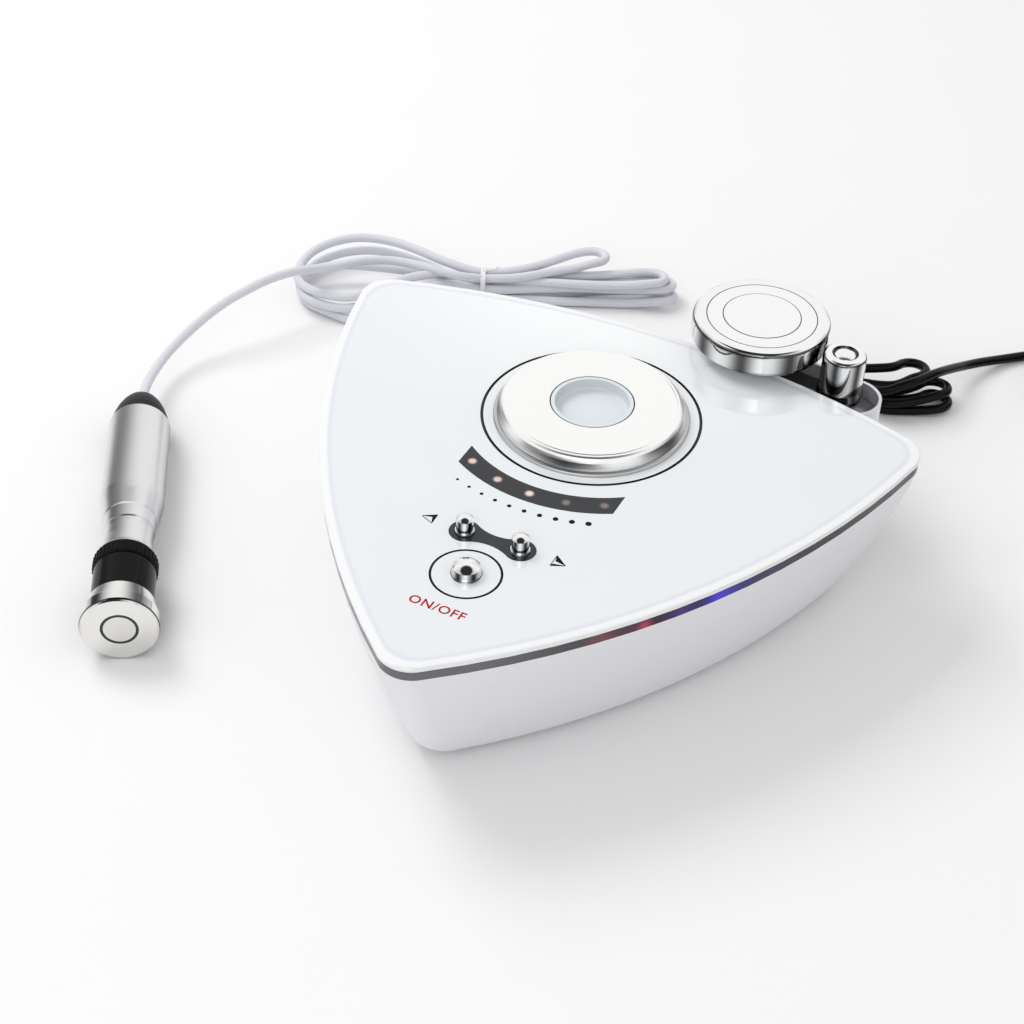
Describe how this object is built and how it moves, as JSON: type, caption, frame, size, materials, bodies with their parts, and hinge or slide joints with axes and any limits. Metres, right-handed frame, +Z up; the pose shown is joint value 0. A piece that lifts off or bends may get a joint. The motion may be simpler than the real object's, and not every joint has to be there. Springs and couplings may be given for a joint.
{
  "type": "facial toning device",
  "caption": "Table-top facial toning device: triangular white housing with a probe dock, keys and level window, rear tray with spare probes, and a corded handpiece.",
  "frame": {"origin": "on the table top, on the vertical axis of the round probe dock", "axes": "+Z up; -Y towards the front tip, where the power button is; +X to the right of someone facing the front tip"},
  "size_m": [0.4734, 0.3722, 0.0785],
  "materials": {
    "housing_white": "satin",
    "band_smoked": "gloss",
    "cover_white": "gloss",
    "foot_rubber": "matte",
    "screw_steel": "satin",
    "dock_metal": "brushed",
    "cup_white": "satin",
    "inner_grey": "matte",
    "window_dark": "gloss",
    "lamp_clear": "clear",
    "plate_dark": "gloss",
    "key_chrome": "polished",
    "inner_black": "matte",
    "board_green": "satin",
    "ribbon_grey": "matte",
    "winding_tape": "satin",
    "capacitor_sleeve": "gloss",
    "fin_metal": "satin",
    "socket_metal": "polished",
    "liner_grey": "gloss",
    "probe_chrome": "polished",
    "insulator_black": "satin",
    "electrode_steel": "satin",
    "grip_metal": "satin",
    "cap_grey": "satin",
    "coupling_black": "satin",
    "sleeve_black": "gloss",
    "contact_brass": "polished",
    "lead_grey": "satin",
    "cord_black": "gloss",
    "tie_white": "matte"
  },
  "bodies": {
    "housing": {"base_shell": "housing_white", "light_band": "band_smoked", "top_cover": "cover_white", "feet": "foot_rubber", "case_screws": "screw_steel", "small_screws": "screw_steel", "dock_ring": "dock_metal", "dock_cup": "cup_white", "dock_nut": "inner_grey", "level_window": "window_dark", "level_lamps": "lamp_clear", "key_plate": "plate_dark", "key_collars": "key_chrome", "power_collar": "cup_white", "key_switches": "inner_black", "control_board": "board_green", "ribbon_cable": "ribbon_grey", "main_board": "board_green", "rf_transformer": "winding_tape", "capacitors": "capacitor_sleeve", "heat_sink": "fin_metal", "buzzer": "inner_black", "band_lamps": "lamp_clear", "dc_jack": "inner_black", "lead_socket": "socket_metal", "probe_tray": "housing_white", "tray_liner": "liner_grey", "lead_plug": "lead_grey", "lead_cord": "lead_grey", "lead_hank": "lead_grey", "dc_plug": "cord_black", "power_cord": "cord_black", "power_hank": "cord_black", "power_coil": "cord_black", "power_plug": "cord_black", "cord_ties": "tie_white"},
    "power_key": {"power_button": "key_chrome", "power_plunger": "inner_black"},
    "minus_key": {"minus_button": "key_chrome", "minus_plunger": "inner_black"},
    "plus_key": {"plus_button": "key_chrome", "plus_plunger": "inner_black"},
    "body_probe": {"body_probe_shell": "probe_chrome", "body_probe_rings": "insulator_black", "body_probe_faces": "electrode_steel", "body_probe_stem": "probe_chrome"},
    "eye_probe": {"eye_probe_shell": "probe_chrome", "eye_probe_ring": "insulator_black", "eye_probe_tip": "probe_chrome", "eye_probe_stem": "probe_chrome"},
    "handpiece": {"hand_grip": "grip_metal", "hand_tail_cap": "cap_grey", "hand_sleeve": "sleeve_black", "hand_contacts": "contact_brass"},
    "coupling": {"hand_coupling": "coupling_black"},
    "probe_head": {"head_shell": "probe_chrome", "head_ring": "insulator_black", "head_face": "electrode_steel", "head_stem": "probe_chrome"}
  },
  "joints": [
    {"name": "power_press", "type": "slide", "parent": "housing", "child": "power_key", "axis": [0, 0, -1], "range_m": [0, 0.0008], "stiffness_N_per_m": 1500, "springref_m": -0.0004},
    {"name": "minus_press", "type": "slide", "parent": "housing", "child": "minus_key", "axis": [0, 0, -1], "range_m": [0, 0.0008], "stiffness_N_per_m": 1500, "springref_m": -0.0004},
    {"name": "plus_press", "type": "slide", "parent": "housing", "child": "plus_key", "axis": [0, 0, -1], "range_m": [0, 0.0008], "stiffness_N_per_m": 1500, "springref_m": -0.0004},
    {"name": "body_probe_lift", "type": "slide", "parent": "housing", "child": "body_probe", "axis": [0, 0, 1], "range_m": [0, 0.03]},
    {"name": "eye_probe_lift", "type": "slide", "parent": "housing", "child": "eye_probe", "axis": [0, 0, 1], "range_m": [0, 0.03]},
    {"name": "handpiece_lift", "type": "slide", "parent": "housing", "child": "handpiece", "axis": [0, 0, 1], "range_m": [0, 0.08]},
    {"name": "coupling_turn", "type": "hinge", "parent": "handpiece", "child": "coupling", "pos_m": [-0.13715, -0.10683, 0.01388], "axis": [0.5209, -0.8534, 0.0192], "range_deg": [0, 90]},
    {"name": "probe_head_pull", "type": "slide", "parent": "handpiece", "child": "probe_head", "axis": [0.5209, -0.8534, 0.0192], "range_m": [0, 0.038]}
  ]
}
